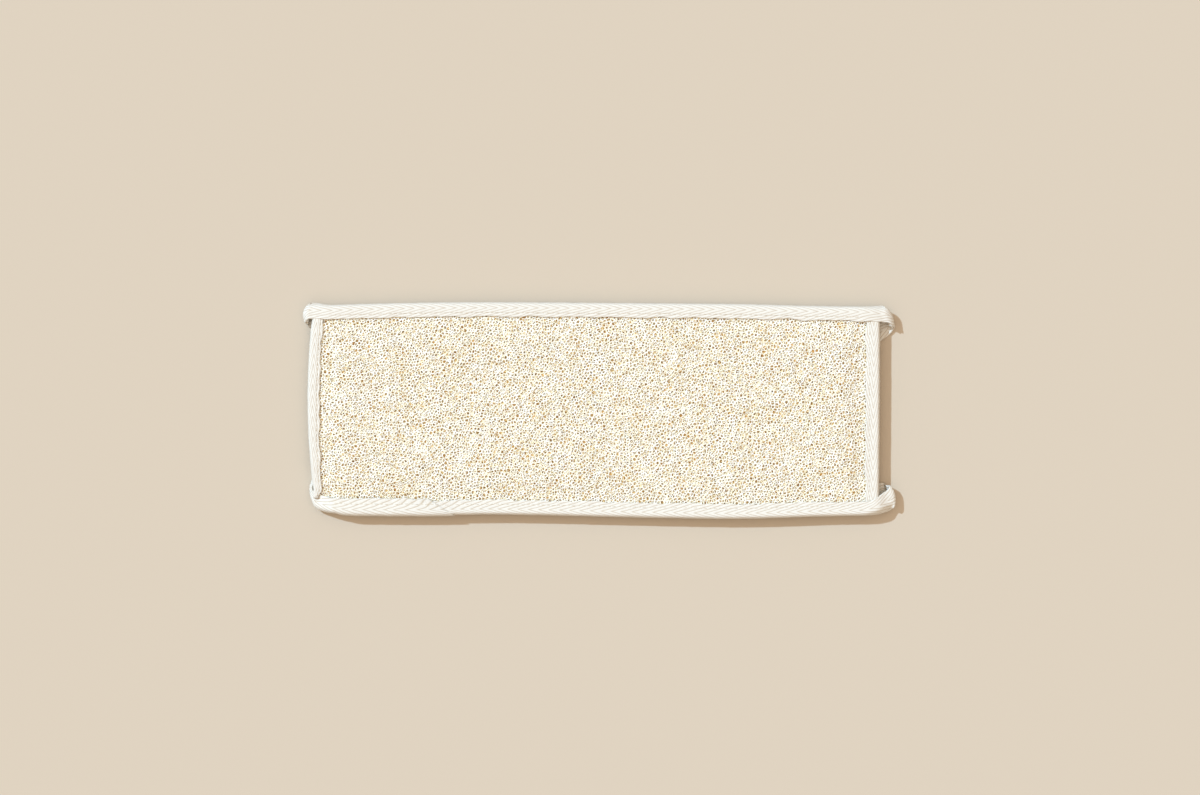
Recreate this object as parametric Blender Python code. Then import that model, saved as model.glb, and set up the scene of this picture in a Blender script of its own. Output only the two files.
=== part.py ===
"""A flat loofah back scrubber, lying on its folded hand loops.

A pressed loofah pad is bound in folded cotton tape. A short tape covers each end of the pad. One long tape
covers both long edges, runs on past the ends as hand loops, and is joined to itself in a slanting lap.
Both loops are turned under the pad and lie flat on the surface. +X runs along the pad, +Y across it.
"""

import math
import random

import bmesh
import bpy
from mathutils import Matrix, Vector

MM = 0.001

# Sizes below are millimetres from the middle of the pad, measured over the tapes
HALF_LENGTH = 180.0
HALF_WIDTH = 66.0
TOP_EDGE = ((-177, 66.2), (-160, 66.9), (-110, 68.1), (-58, 68.4), (40, 67.7), (92, 67.2), (142, 66.0), (180, 65.6))
BOTTOM_EDGE = ((-177, -65.6), (-110, -66.0), (-60, -65.5), (40, -67.6), (92, -68.2), (142, -66.7), (180, -66.0))
LEFT_END = ((-66, -177.0), (-45, -178.2), (-20, -180.2), (5, -181.0), (25, -180.6), (48, -179.2), (66, -177.0))
RIGHT_END = ((-66, 179.4), (-20, 179.7), (20, 180.0), (66, 180.1))
PULLED_CORNER_REACH = 26.0
PULLED_CORNER_DEPTH = 4.4

# Heights, and the thickness of the pad and of the tape
MIDDLE_HEIGHT = 7.6
PAD_HALF = 5.0
PAD_HALF_AT_LONG_EDGE = 3.4
PAD_HALF_AT_END = 2.2
CROWN_RISE = 16.0
TAPE = 1.0
END_TAPE = 0.9
GAP = 0.3
STRAP = 2.2
STRAP_WIDTH = 12.5
STRAP_SLIT_DEPTH = 3.0

# How far each folded tape reaches in over the pad
TOP_REACH = 8.7
BOTTOM_REACH = 9.0
LEFT_REACH = 7.7
RIGHT_REACH = 8.8
END_TAPE_SHORTFALL = 5.3
PULLED_CORNER_SHORTFALL = 11.0

# The loofah's raised net
NET_COLUMNS = 36
NET_ROWS = 12
NET_UNDER_TAPE = 0.8
NET_JITTER = 0.28
NET_DIAGONALS = 0.42
NET_STRANDS = ((0.9, 1.0), (1.15, 1.25), (1.4, 1.5))
NET_SEEDS = {1: 11, -1: 29}

# The lap where the long tape's two ends meet, and the stations along the long edges
LAP_END = -91.0
LAP_SLANT = 1.5
LAP_FADE = (-160.0, -176.0)
LAP_EXTRA_REACH = 1.4
LAP_EXTRA_THICKNESS = 0.6
LAP_STEP = 0.4
EDGE_STEP = 15.0

# Each corner: the outer end of the long edge, the middle of the strap where it starts to turn under, its
# heading there, the crease it turns round, and its height
CORNERS = {
    "top_right": {"end": (1, 1), "start": (184.3, 58.6), "heading": 0.0, "crease": 107.0, "height": 6.6},
    "bottom_right": {"end": (1, -1), "start": (185.6, -55.8), "heading": 32.0, "crease": 105.0, "height": 5.2},
    "bottom_left": {"end": (-1, -1), "start": (-178.3, -54.6), "heading": 156.0, "crease": 99.0, "height": 4.8},
    "top_left": {"end": (-1, 1), "start": (-180.3, 61.4), "heading": 178.0, "crease": 77.0, "height": 6.8},
}
FOLD_STEPS = 8
COLLAPSE_STEPS = 4

# Each loop's course under the pad, between its two folds
RIGHT_LOOP = (
    (168, 45.5), (146, 40.5), (118, 39.5), (92, 39.0), (66, 35.0), (47, 20.0), (41, 0.0),
    (47, -20.5), (66, -36.0), (92, -42.0), (118, -44.5), (146, -47.5), (168, -50.5),
)
LEFT_LOOP = (
    (-166, -41.5), (-146, -37.5), (-120, -37.5), (-94, -38.5), (-68, -35.0), (-48, -20.5), (-42, 0.5),
    (-48, 21.0), (-68, 36.5), (-94, 41.5), (-120, 44.0), (-146, 48.5), (-166, 54.5),
)
LOOP_STEP = 9.0

COTTON = (0.90, 0.87, 0.78, 1.0)
LOOFAH = (0.86, 0.78, 0.60, 1.0)


def along(points, at):
    """The value at a place on a smooth line through (place, value) points."""
    places = [p[0] for p in points]
    at = min(max(at, places[0]), places[-1])
    i = max(k for k in range(len(points) - 1) if places[k] <= at)

    def slope(k):
        low, high = max(k - 1, 0), min(k + 1, len(points) - 1)
        return (points[high][1] - points[low][1]) / (points[high][0] - points[low][0])

    span = places[i + 1] - places[i]
    t = (at - places[i]) / span
    start, end = points[i][1], points[i + 1][1]
    return (
        start * (2 * t**3 - 3 * t**2 + 1)
        + end * (3 * t**2 - 2 * t**3)
        + span * slope(i) * (t**3 - 2 * t**2 + t)
        + span * slope(i + 1) * (t**3 - t**2)
    )


def ease(t):
    """0 to 1 with a soft start and end."""
    t = min(max(t, 0.0), 1.0)
    return t * t * (3 - 2 * t)


def facing(degrees):
    """The level unit vector with this heading."""
    return Vector((math.cos(math.radians(degrees)), math.sin(math.radians(degrees)), 0.0))


def on_pad(x, y, z=0.0):
    """Where a point of the plain rectangle lies once its edges bow and its lower left corner is pulled in."""
    across = (x + HALF_LENGTH) / (2 * HALF_LENGTH)
    x_out = along(LEFT_END, y) * (1 - across) + along(RIGHT_END, y) * across
    up = (y + HALF_WIDTH) / (2 * HALF_WIDTH)
    y_out = along(BOTTOM_EDGE, x_out) * (1 - up) + along(TOP_EDGE, x_out) * up
    from_corner = math.hypot(x + HALF_LENGTH, y + HALF_WIDTH)
    pull = PULLED_CORNER_DEPTH * max(0.0, 1 - from_corner / PULLED_CORNER_REACH) ** 2
    return Vector((x_out + pull, y_out + pull, z))


def pad_half(x, y):
    """Half the pad's thickness: pinched by the tapes at its edges, and crowned between them."""
    from_end = HALF_LENGTH - abs(x) - (LEFT_REACH if x < 0 else RIGHT_REACH)
    from_edge = HALF_WIDTH - abs(y) - (BOTTOM_REACH if y < 0 else TOP_REACH)
    at_end = PAD_HALF_AT_END + (PAD_HALF - PAD_HALF_AT_END) * ease(from_end / CROWN_RISE)
    at_edge = PAD_HALF_AT_LONG_EDGE + (PAD_HALF - PAD_HALF_AT_LONG_EDGE) * ease(from_edge / CROWN_RISE)
    return min(at_end, at_edge)


def cloth(name, colour, roughness):
    """A plain non-metal material."""
    material = bpy.data.materials.new(name)
    material.use_nodes = True
    shader = material.node_tree.nodes["Principled BSDF"]
    shader.inputs["Base Color"].default_value = colour
    shader.inputs["Roughness"].default_value = roughness
    shader.inputs["Metallic"].default_value = 0.0
    return material


def add_object(name, bm, base, material):
    """An object of this mesh under the base, turned from millimetres to metres."""
    bmesh.ops.recalc_face_normals(bm, faces=bm.faces)
    mesh = bpy.data.meshes.new(name)
    bm.to_mesh(mesh)
    bm.free()
    mesh.transform(Matrix.Diagonal((MM, MM, MM, 1.0)))
    mesh.materials.append(material)
    obj = bpy.data.objects.new(name, mesh)
    bpy.context.scene.collection.objects.link(obj)
    obj.parent = base
    return obj


def grid_lines(count, low, high):
    """Evenly spaced places from one to the other."""
    return [low + (high - low) * i / count for i in range(count + 1)]


def net_face(bm, side):
    """One face of the pad: jittered cells, some cut across, each sunk inside its strands. Returns the rim."""
    rng = random.Random(NET_SEEDS[side])
    x_end = HALF_LENGTH - END_TAPE - GAP
    y_end = HALF_WIDTH - TAPE - GAP
    left = -HALF_LENGTH + LEFT_REACH - NET_UNDER_TAPE
    right = HALF_LENGTH - RIGHT_REACH + NET_UNDER_TAPE
    xs = [-x_end] + grid_lines(NET_COLUMNS, left, right) + [x_end]
    low = -HALF_WIDTH + BOTTOM_REACH - NET_UNDER_TAPE
    high = HALF_WIDTH - TOP_REACH + NET_UNDER_TAPE
    ys = [-y_end] + grid_lines(NET_ROWS, low, high) + [y_end]
    pitch = (xs[2] - xs[1], ys[2] - ys[1])

    grid = []
    for i, x in enumerate(xs):
        column = []
        for j, y in enumerate(ys):
            inside = 1 < i < len(xs) - 2 and 1 < j < len(ys) - 2
            shift = [rng.uniform(-NET_JITTER, NET_JITTER) * p if inside else 0.0 for p in pitch]
            px, py = x + shift[0], y + shift[1]
            point = on_pad(px, py, MIDDLE_HEIGHT + side * pad_half(px, py))
            column.append(bm.verts.new(point))
        grid.append(column)

    cells = []
    for i in range(len(xs) - 1):
        for j in range(len(ys) - 1):
            ring = [grid[i][j], grid[i + 1][j], grid[i + 1][j + 1], grid[i][j + 1]]
            if side < 0:
                ring.reverse()
            if not (0 < i < len(xs) - 2 and 0 < j < len(ys) - 2):
                bm.faces.new(ring)
            elif rng.random() < NET_DIAGONALS:
                turn = rng.choice((0, 1))
                ring = ring[turn:] + ring[:turn]
                cells.append(bm.faces.new(ring[:3]))
                cells.append(bm.faces.new([ring[0], ring[2], ring[3]]))
            else:
                cells.append(bm.faces.new(ring))

    for cell in cells:
        cell.normal_update()
        inner_radius = 2 * cell.calc_area() / cell.calc_perimeter()
        width, depth = rng.choice(NET_STRANDS)
        width = min(width, 0.55 * inner_radius)
        bmesh.ops.inset_individual(bm, faces=[cell], thickness=width, depth=-depth, use_even_offset=True)

    rim = [grid[i][0] for i in range(len(xs))]
    rim += [grid[-1][j] for j in range(1, len(ys))]
    rim += [grid[i][-1] for i in range(len(xs) - 2, -1, -1)]
    rim += [grid[0][j] for j in range(len(ys) - 2, 0, -1)]
    return rim


def add_loofah_pad(base, material):
    """The loofah: a raised net of strands on both faces, closed all round its edge."""
    bm = bmesh.new()
    upper = net_face(bm, 1)
    lower = net_face(bm, -1)
    for i in range(len(upper)):
        j = (i + 1) % len(upper)
        bm.faces.new((lower[i], lower[j], upper[j], upper[i]))
    return add_object("loofah_pad", bm, base, material)


def channel(reach, half, wall):
    """A folded tape's section, open inwards: (distance past the fold edge, height) all round."""
    round_out = 1.3
    round_in = 0.5
    inner = half - wall
    upper = [(-reach, half), (-round_out, half), (0.0, half - round_out)]
    lower = [(w, -n) for w, n in reversed(upper)]
    hollow = [(-wall - round_in, -inner), (-wall, round_in - inner)]
    hollow_upper = [(w, -n) for w, n in reversed(hollow)]
    return upper + lower + [(-reach, -inner)] + hollow + hollow_upper + [(-reach, inner)]


def flat_strap():
    """The same tape pressed flat, with a slit left along its open edge."""
    half = STRAP / 2
    slit = -STRAP_WIDTH + STRAP_SLIT_DEPTH
    upper = [(-STRAP_WIDTH, half), (-0.7, half), (0.0, 0.45)]
    lower = [(w, -n) for w, n in reversed(upper)]
    hollow = [(slit, -0.16), (slit + 0.2, -0.05)]
    hollow_upper = [(w, -n) for w, n in reversed(hollow)]
    return upper + lower + [(-STRAP_WIDTH, -0.25)] + hollow + hollow_upper + [(-STRAP_WIDTH, 0.25)]


def mix_sections(first, second, t):
    """A section part of the way from one to the other."""
    return [(a[0] + (b[0] - a[0]) * t, a[1] + (b[1] - a[1]) * t) for a, b in zip(first, second)]


def add_end_binding(name, side, base, material):
    """The short folded tape over one end of the pad, its own ends tucked under the long tape."""
    reach = LEFT_REACH if side < 0 else RIGHT_REACH
    half = PAD_HALF_AT_END + GAP + END_TAPE
    section = channel(reach, half, END_TAPE)
    bm = bmesh.new()
    rings = []
    low = -HALF_WIDTH + (PULLED_CORNER_SHORTFALL if side < 0 else END_TAPE_SHORTFALL)
    for y in grid_lines(14, low, HALF_WIDTH - END_TAPE_SHORTFALL):
        ring = [bm.verts.new(on_pad(side * (HALF_LENGTH + w), y, MIDDLE_HEIGHT + n)) for w, n in section]
        rings.append(ring)
    skin_rings(bm, rings)
    bm.faces.new(rings[0])
    bm.faces.new(rings[-1])
    return add_object(name, bm, base, material)


def skin_rings(bm, rings, closed=False):
    """Quads between each ring of points and the next, and back to the first where closed."""
    count = len(rings)
    for k in range(count if closed else count - 1):
        first, second = rings[k], rings[(k + 1) % count]
        for i in range(len(first)):
            j = (i + 1) % len(first)
            bm.faces.new((first[i], first[j], second[j], second[i]))


def edge_stations(side):
    """Rings of points along one long edge, from the left end of the pad to the right."""
    reach = BOTTOM_REACH if side < 0 else TOP_REACH
    half = PAD_HALF_AT_LONG_EDGE + GAP + TAPE
    end = HALF_LENGTH + GAP
    places = [(x, 0.0, 0.0) for x in grid_lines(round(2 * end / EDGE_STEP), -end, end)]
    if side < 0:
        pulled = [x + EDGE_STEP / 2 for x, _, _ in places if x + HALF_LENGTH < PULLED_CORNER_REACH]
        spaced = sorted([x for x, _, _ in places if abs(x - LAP_END) > EDGE_STEP / 2] + pulled)
        places = [(x, lap_slant(x), lap_share(x)) for x in spaced]
        places += [(LAP_END, LAP_SLANT, 1.0), (LAP_END + LAP_STEP, LAP_SLANT, 0.0)]
        places.sort()
    rings = []
    for x, slant, share in places:
        extra = LAP_EXTRA_THICKNESS * share
        section = []
        for w, n in channel(reach + LAP_EXTRA_REACH * share, half, TAPE):
            out = extra if w > -TAPE else 0.0
            up = math.copysign(extra, n) if abs(n) > half - TAPE / 2 else 0.0
            section.append((w + out, n + up))
        rings.append([on_pad(x + slant * w, side * (HALF_WIDTH + w), MIDDLE_HEIGHT + n) for w, n in section])
    return rings


def lap_slant(x):
    """How far a station near the lap leans along the edge, for each millimetre in from the fold."""
    return LAP_SLANT * ease(1 - abs(x - LAP_END) / 40)


def lap_share(x):
    """1 where the tape is doubled by the lap, 0 where it is single."""
    if x > LAP_END:
        return 0.0
    return 1 - ease((LAP_FADE[0] - x) / (LAP_FADE[0] - LAP_FADE[1]))


def corner_stations(end, start, heading, crease, height):
    """Rings from the end of a long edge, through the strap's fold, to the strap lying under the pad.

    Returns the rings, the middle of the strap where it lies flat, and its heading there.
    """
    side_x, side_y = end
    reach = BOTTOM_REACH if side_y < 0 else TOP_REACH
    half = PAD_HALF_AT_LONG_EDGE + GAP + TAPE
    open_section, flat_section = channel(reach, half, TAPE), flat_strap()

    travel = facing(heading)
    outward = facing(heading + 90 * side_x * side_y)
    line = facing(crease)
    lean = line / line.dot(outward)
    beyond = travel - line * travel.dot(line)
    beyond.normalize()
    middle = Vector((start[0], start[1], 0.0))
    fold_edge = middle + lean * (STRAP_WIDTH / 2)

    end_x = side_x * (HALF_LENGTH + GAP)
    gate_edge = on_pad(end_x, side_y * HALF_WIDTH)
    gate_lean = (gate_edge - on_pad(end_x, side_y * (HALF_WIDTH - reach))) / reach
    rings = []
    for step in range(1, COLLAPSE_STEPS):
        t = step / COLLAPSE_STEPS
        edge = gate_edge.lerp(fold_edge, t)
        across = gate_lean.lerp(lean, t)
        z = MIDDLE_HEIGHT + (height - MIDDLE_HEIGHT) * ease(t)
        section = mix_sections(open_section, flat_section, ease(t))
        rings.append([edge + across * w + Vector((0, 0, z + n)) for w, n in section])

    radius = (height - STRAP / 2) / 2
    slide = math.pi * radius * travel.dot(line) / travel.dot(beyond)
    for step in range(FOLD_STEPS + 1):
        turn = math.pi * step / FOLD_STEPS
        edge = fold_edge + line * (slide * step / FOLD_STEPS)
        ring = []
        for w, n in flat_section:
            arm = radius + n
            rise = height - radius + arm * math.cos(turn)
            ring.append(edge + lean * w + beyond * (arm * math.sin(turn)) + Vector((0, 0, rise)))
        rings.append(ring)
    return rings, middle + line * slide, 2 * crease - heading


def course(points, first_heading, last_heading, step):
    """Points and headings spaced along a smooth curve through the given points, without its two ends."""
    knots = [Vector((p[0], p[1], 0.0)) for p in points]
    tangents = [facing(first_heading)]
    tangents += [(knots[k + 1] - knots[k - 1]).normalized() for k in range(1, len(knots) - 1)]
    tangents.append(facing(last_heading))
    fine = []
    for k in range(len(knots) - 1):
        chord = (knots[k + 1] - knots[k]).length
        for i in range(20):
            t = i / 20
            fine.append(
                knots[k] * (2 * t**3 - 3 * t**2 + 1)
                + knots[k + 1] * (3 * t**2 - 2 * t**3)
                + tangents[k] * chord * (t**3 - 2 * t**2 + t)
                + tangents[k + 1] * chord * (t**3 - t**2)
            )
    fine.append(knots[-1])
    length = sum((b - a).length for a, b in zip(fine, fine[1:]))
    spacing = length / round(length / step)
    placed, gone = [], 0.0
    for before, after in zip(fine, fine[1:]):
        part = (after - before).length
        while (len(placed) + 1) * spacing <= gone + part and (len(placed) + 1) * spacing < length - 0.01:
            t = ((len(placed) + 1) * spacing - gone) / part
            placed.append((before.lerp(after, t), (after - before).normalized()))
        gone += part
    return placed


def loop_stations(leaving, arriving, points):
    """Rings of the strap lying flat under the pad, from the fold it leaves to the fold it arrives at."""
    _, first, first_heading = leaving
    _, last, last_heading = arriving
    path = course([first, *points, last], first_heading, last_heading + 180, LOOP_STEP)
    rings = []
    for middle, travel in path:
        outward = Vector((travel.y, -travel.x, 0.0))
        edge = middle + outward * (STRAP_WIDTH / 2)
        rings.append([edge + outward * w + Vector((0, 0, STRAP / 2 - n)) for w, n in flat_strap()])
    return rings


def add_edge_tape(base, material):
    """The long tape: top edge, right hand loop, bottom edge and left hand loop, all one ring."""
    corners = {name: corner_stations(**sizes) for name, sizes in CORNERS.items()}
    top_right, bottom_right = corners["top_right"], corners["bottom_right"]
    bottom_left, top_left = corners["bottom_left"], corners["top_left"]
    rings = edge_stations(1)
    rings += top_right[0] + loop_stations(top_right, bottom_right, RIGHT_LOOP) + bottom_right[0][::-1]
    rings += edge_stations(-1)[::-1]
    rings += bottom_left[0] + loop_stations(bottom_left, top_left, LEFT_LOOP) + top_left[0][::-1]
    bm = bmesh.new()
    skin_rings(bm, [[bm.verts.new(point) for point in ring] for ring in rings], closed=True)
    return add_object("edge_tape", bm, base, material)


def centre_on_origin(base, objects):
    """Move the base so that the whole part stands on Z = 0 with its middle over the origin."""
    points = [Vector(v.co) for obj in objects for v in obj.data.vertices]
    low = [min(p[axis] for p in points) for axis in range(3)]
    high = [max(p[axis] for p in points) for axis in range(3)]
    base.location = (-(low[0] + high[0]) / 2, -(low[1] + high[1]) / 2, -low[2])


def main():
    """Build the four pieces."""
    for obj in list(bpy.data.objects):
        bpy.data.objects.remove(obj)
    base = bpy.data.objects.new("scrubber", None)
    bpy.context.scene.collection.objects.link(base)
    cotton = cloth("cotton_tape", COTTON, 0.9)
    loofah = cloth("loofah_fibre", LOOFAH, 0.85)
    pieces = [
        add_loofah_pad(base, loofah),
        add_end_binding("end_binding_left", -1, base, cotton),
        add_end_binding("end_binding_right", 1, base, cotton),
        add_edge_tape(base, cotton),
    ]
    centre_on_origin(base, pieces)
    bpy.context.view_layer.update()


main()
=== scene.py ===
"""A flat loofah back scrubber lying on its folded hand loops, dressed for its photograph.

A pressed loofah pad is bound in folded herringbone tape. A short tape covers each end, and one long tape
covers both long edges and runs on as two hand loops, which are turned under the pad. Sizes are millimetres
from the middle of the pad until a mesh is made, and +X runs along the pad.
"""

import logging
import math
from dataclasses import dataclass
from enum import Enum

import bpy
import numpy as np
from mathutils import Euler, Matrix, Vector
from mathutils.geometry import delaunay_2d_cdt


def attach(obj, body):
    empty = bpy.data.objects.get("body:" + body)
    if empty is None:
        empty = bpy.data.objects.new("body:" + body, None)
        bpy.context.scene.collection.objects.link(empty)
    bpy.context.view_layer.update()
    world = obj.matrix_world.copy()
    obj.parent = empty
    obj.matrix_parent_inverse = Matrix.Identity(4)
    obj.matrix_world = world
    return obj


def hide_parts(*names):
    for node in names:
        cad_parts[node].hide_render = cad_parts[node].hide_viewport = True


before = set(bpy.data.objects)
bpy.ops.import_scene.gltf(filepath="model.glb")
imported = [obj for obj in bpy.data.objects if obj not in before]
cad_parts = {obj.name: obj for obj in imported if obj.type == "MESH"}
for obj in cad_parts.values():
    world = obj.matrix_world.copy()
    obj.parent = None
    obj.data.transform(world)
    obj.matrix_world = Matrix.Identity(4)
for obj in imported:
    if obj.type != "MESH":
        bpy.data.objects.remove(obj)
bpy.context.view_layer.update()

BODY = "root"
MM = 0.001
PAD_CENTRE = (-2.251, -0.0965)
STRAP_WIDTH = 12.5
MEASURED_IN = 6.0
UPRIGHT = np.array((0.0, 0.0, 1.0))
LOG = logging.getLogger("loofah_scrubber")


class Face(Enum):
    """The two faces of the pad."""

    UPPER = 1
    LOWER = -1


class Slot(Enum):
    """The record's material slots."""

    FIBRE = "loofah_fibre"
    END_TAPE = "end_tape"
    LONG_TAPE = "long_tape"


def ease(t: np.ndarray) -> np.ndarray:
    """0 to 1 with a soft start and end."""
    t = np.clip(t, 0.0, 1.0)
    return t * t * (3 - 2 * t)


def facing(degrees: float) -> np.ndarray:
    """The level unit vector with this heading."""
    return np.array((math.cos(math.radians(degrees)), math.sin(math.radians(degrees)), 0.0))


def unit(vectors: np.ndarray) -> np.ndarray:
    """The same directions with length 1."""
    return vectors / np.maximum(np.linalg.norm(vectors, axis=-1, keepdims=True), 1e-9)


def cubic(start: np.ndarray, leave: np.ndarray, end: np.ndarray, arrive: np.ndarray, t: np.ndarray) -> np.ndarray:
    """Points on the cubic curve between two points with these tangents.

    Args:
        start: The first point.
        leave: The tangent there.
        end: The last point.
        arrive: The tangent there.
        t: How far along each wanted point is, from 0 to 1, in a shape that goes with the points.

    Returns:
        The points.
    """
    return (
        start * (2 * t**3 - 3 * t**2 + 1)
        + end * (3 * t**2 - 2 * t**3)
        + leave * (t**3 - 2 * t**2 + t)
        + arrive * (t**3 - t**2)
    )


@dataclass(frozen=True)
class SmoothLine:
    """A smooth line through (place, value) points."""

    points: tuple[tuple[float, float], ...]

    def at(self, places: np.ndarray) -> np.ndarray:
        """The line's values at these places.

        Args:
            places: Where along the line.

        Returns:
            One value for each place.
        """
        knots = np.array(self.points, float)
        slopes = np.gradient(knots[:, 1]) / np.gradient(knots[:, 0])
        places = np.clip(np.asarray(places, float), knots[0, 0], knots[-1, 0])
        i = np.clip(np.searchsorted(knots[:, 0], places, side="right") - 1, 0, len(knots) - 2)
        span = knots[i + 1, 0] - knots[i, 0]
        t = (places - knots[i, 0]) / span
        return cubic(knots[i, 1], span * slopes[i], knots[i + 1, 1], span * slopes[i + 1], t)


@dataclass(frozen=True)
class Ripple:
    """A smooth random swell over the pad, with a standard deviation near 1."""

    seed: int
    shortest: float
    longest: float
    waves: int = 14

    def at(self, x: np.ndarray, y: np.ndarray) -> np.ndarray:
        """The swell at these places.

        Args:
            x: How far along the pad each place is.
            y: How far across it.

        Returns:
            One height for each place.
        """
        rng = np.random.default_rng(self.seed)
        headings = rng.uniform(0, 2 * math.pi, self.waves)
        lengths = rng.uniform(self.shortest, self.longest, self.waves)
        phases = rng.uniform(0, 2 * math.pi, self.waves)
        total = np.zeros(np.shape(x))
        for heading, length, phase in zip(headings, lengths, phases):
            turns = (x * math.cos(heading) + y * math.sin(heading)) / length
            total = total + np.sin(2 * math.pi * turns + phase)
        return total * math.sqrt(2 / self.waves)


@dataclass(frozen=True)
class PadShape:
    """The pad's outline and thickness, the same as its solids have."""

    half_length: float = 180.0
    half_width: float = 66.0
    middle: float = 7.6
    half: float = 5.0
    half_at_long_edge: float = 3.4
    half_at_end: float = 2.2
    crown_rise: float = 16.0
    top_reach: float = 8.7
    bottom_reach: float = 9.0
    left_reach: float = 7.7
    right_reach: float = 8.8
    pulled_reach: float = 26.0
    pulled_depth: float = 4.4
    swell: float = 0.13
    top_edge: SmoothLine = SmoothLine(
        ((-177, 66.2), (-160, 66.9), (-110, 68.1), (-58, 68.4), (40, 67.7), (92, 67.2), (142, 66.0), (180, 65.6))
    )
    bottom_edge: SmoothLine = SmoothLine(
        ((-177, -65.6), (-110, -66.0), (-60, -65.5), (40, -67.6), (92, -68.2), (142, -66.7), (180, -66.0))
    )
    left_end: SmoothLine = SmoothLine(
        ((-66, -177.0), (-45, -178.2), (-20, -180.2), (5, -181.0), (25, -180.6), (48, -179.2), (66, -177.0))
    )
    right_end: SmoothLine = SmoothLine(((-66, 179.4), (-20, 179.7), (20, 180.0), (66, 180.1)))

    def place(self, x: np.ndarray, y: np.ndarray) -> tuple[np.ndarray, np.ndarray]:
        """Where points of the plain rectangle lie once its edges bow and one corner is pulled in.

        Args:
            x: How far along the pad each place is.
            y: How far across it.

        Returns:
            The points' new places along and across the pad.
        """
        x, y = np.asarray(x, float), np.asarray(y, float)
        across = (x + self.half_length) / (2 * self.half_length)
        x_out = self.left_end.at(y) * (1 - across) + self.right_end.at(y) * across
        up = (y + self.half_width) / (2 * self.half_width)
        y_out = self.bottom_edge.at(x_out) * (1 - up) + self.top_edge.at(x_out) * up
        from_corner = np.hypot(x + self.half_length, y + self.half_width)
        pull = self.pulled_depth * np.maximum(0.0, 1 - from_corner / self.pulled_reach) ** 2
        return x_out + pull, y_out + pull

    def thickness(self, x: np.ndarray, y: np.ndarray) -> np.ndarray:
        """Half the pad's thickness: pinched by the tapes at its edges, and crowned between them.

        Args:
            x: How far along the pad each place is.
            y: How far across it.

        Returns:
            Half the thickness at each place.
        """
        from_end = self.half_length - np.abs(x) - np.where(x < 0, self.left_reach, self.right_reach)
        from_edge = self.half_width - np.abs(y) - np.where(y < 0, self.bottom_reach, self.top_reach)
        at_end = self.half_at_end + (self.half - self.half_at_end) * ease(from_end / self.crown_rise)
        at_edge = self.half_at_long_edge + (self.half - self.half_at_long_edge) * ease(from_edge / self.crown_rise)
        return np.minimum(at_end, at_edge)

    def surface(self, x: np.ndarray, y: np.ndarray, face: Face) -> np.ndarray:
        """The height of one face of the pad, with its slow swells.

        Args:
            x: How far along the pad each place is.
            y: How far across it.
            face: Which face.

        Returns:
            One height for each place.
        """
        swell = self.swell * Ripple(21 + face.value, 16.0, 38.0).at(x, y)
        room = ease((self.thickness(x, y) - self.half_at_end) / 2.0)
        return self.middle + face.value * self.thickness(x, y) + np.minimum(swell * room, 0.45)


class MeshMaker:
    """Turns arrays of points and faces, in millimetres, into objects of the scene."""

    @staticmethod
    def add(name: str, points: np.ndarray, faces: list[np.ndarray], material: bpy.types.Material,
            uv: list[np.ndarray] | None = None) -> bpy.types.Object:
        """Makes a smooth object and links it to the scene.

        Args:
            name: The object's name.
            points: One row for each point, in millimetres from the middle of the pad.
            faces: Arrays with one row of point numbers for each face, one array for each number of corners.
            material: The finish.
            uv: Two numbers for each corner of each face, in arrays that match the faces, or None.

        Returns:
            The new object, riding on the body.
        """
        mesh = bpy.data.meshes.new(name)
        placed = np.array(points, float)
        placed[:, 0] += PAD_CENTRE[0]
        placed[:, 1] += PAD_CENTRE[1]
        placed *= MM
        corners = np.concatenate([f.ravel() for f in faces]).astype(np.int32)
        sizes = np.concatenate([np.full(len(f), f.shape[1]) for f in faces])
        starts = np.r_[0, np.cumsum(sizes)[:-1]].astype(np.int32)
        mesh.vertices.add(len(placed))
        mesh.vertices.foreach_set("co", placed.astype(np.float32).ravel())
        mesh.loops.add(len(corners))
        mesh.loops.foreach_set("vertex_index", corners)
        mesh.polygons.add(len(sizes))
        mesh.polygons.foreach_set("loop_start", starts)
        mesh.polygons.foreach_set("use_smooth", np.ones(len(sizes), bool))
        mesh.update(calc_edges=True)
        if uv is not None:
            layer = mesh.uv_layers.new(name="tape_run")
            layer.data.foreach_set("uv", np.concatenate([u.reshape(-1, 2) for u in uv]).astype(np.float32).ravel())
        mesh.materials.append(material)
        obj = bpy.data.objects.new(name, mesh)
        bpy.context.scene.collection.objects.link(obj)
        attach(obj, BODY)
        return obj


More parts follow.
